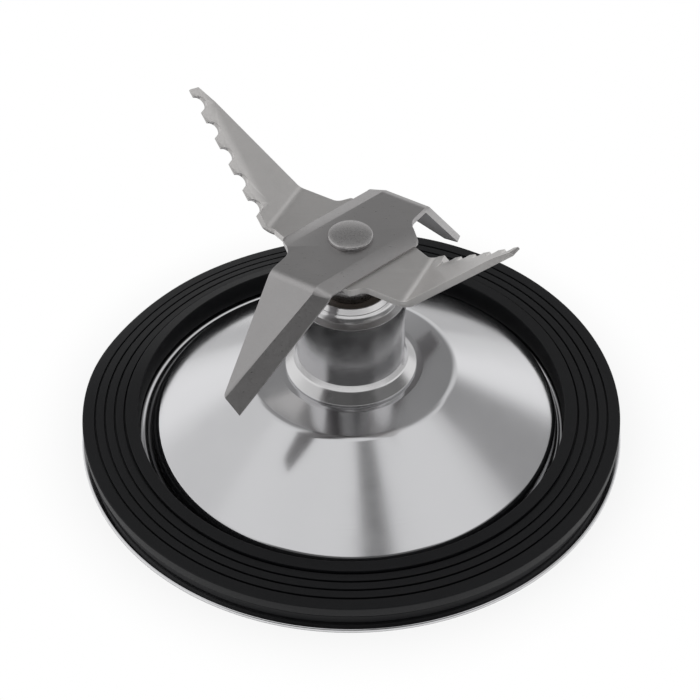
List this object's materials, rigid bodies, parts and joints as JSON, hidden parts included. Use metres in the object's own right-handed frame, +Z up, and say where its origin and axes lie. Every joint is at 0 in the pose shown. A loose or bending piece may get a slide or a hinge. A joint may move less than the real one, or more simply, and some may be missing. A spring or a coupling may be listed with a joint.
{
  "type": "blender blade assembly",
  "caption": "Blender blade assembly: crossed steel blades, one plain and turned down, one serrated and turned up, on a bearing tower in a dished base with a rubber ring.",
  "frame": {"origin": "on the shaft axis, at the underside of the base flange", "axes": "+Z up along the shaft towards the blades, -Y towards the viewer of the picture"},
  "size_m": [0.1112, 0.1112, 0.0682],
  "materials": {
    "pressed_steel": "polished stainless pressing",
    "turned_steel": "turned and polished stainless",
    "blade_steel": "fine ground stainless",
    "plated_steel": "bright zinc plate",
    "bearing_steel": "ground bearing steel",
    "ball_steel": "polished bearing steel",
    "spring_steel": "phosphated spring steel",
    "gasket_rubber": "matte moulded rubber",
    "seal_rubber": "satin nitrile rubber",
    "washer_fibre": "matte sealing fibre",
    "coupling_plastic": "matte glass-filled nylon",
    "insert_brass": "turned brass"
  },
  "bodies": {
    "base": {"base_dish": "pressed_steel", "sealing_gasket": "gasket_rubber", "bearing_housing": "turned_steel", "housing_washer": "washer_fibre", "lock_washer": "plated_steel", "clamp_nut": "plated_steel", "seal_case": "plated_steel", "seal_lip": "seal_rubber", "upper_outer_ring": "bearing_steel", "lower_outer_ring": "bearing_steel", "upper_bearing_shields": "plated_steel", "lower_bearing_shields": "plated_steel", "outer_spacer": "turned_steel", "housing_circlip": "spring_steel"},
    "rotor": {"drive_shaft": "turned_steel", "lower_blade": "blade_steel", "upper_blade": "blade_steel", "upper_inner_ring": "bearing_steel", "lower_inner_ring": "bearing_steel", "inner_spacer": "turned_steel", "shaft_circlip": "spring_steel", "drive_coupling": "coupling_plastic", "coupling_insert": "insert_brass"},
    "upper_cage": {"upper_bearing_balls": "ball_steel", "upper_ball_cage": "plated_steel"},
    "lower_cage": {"lower_bearing_balls": "ball_steel", "lower_ball_cage": "plated_steel"}
  },
  "joints": [
    {"name": "blade_spin", "type": "hinge", "parent": "base", "child": "rotor", "pos_m": [0, 0, 0.0492], "axis": [0, 0, 1], "continuous": true},
    {"name": "upper_cage_spin", "type": "hinge", "parent": "base", "child": "upper_cage", "pos_m": [0, 0, 0.0307], "axis": [0, 0, 1], "continuous": true},
    {"name": "lower_cage_spin", "type": "hinge", "parent": "base", "child": "lower_cage", "pos_m": [0, 0, 0.0197], "axis": [0, 0, 1], "continuous": true}
  ],
  "couplings": [
    {"joint": "upper_cage_spin", "follows": "blade_spin", "ratio": 0.4},
    {"joint": "lower_cage_spin", "follows": "blade_spin", "ratio": 0.4}
  ]
}
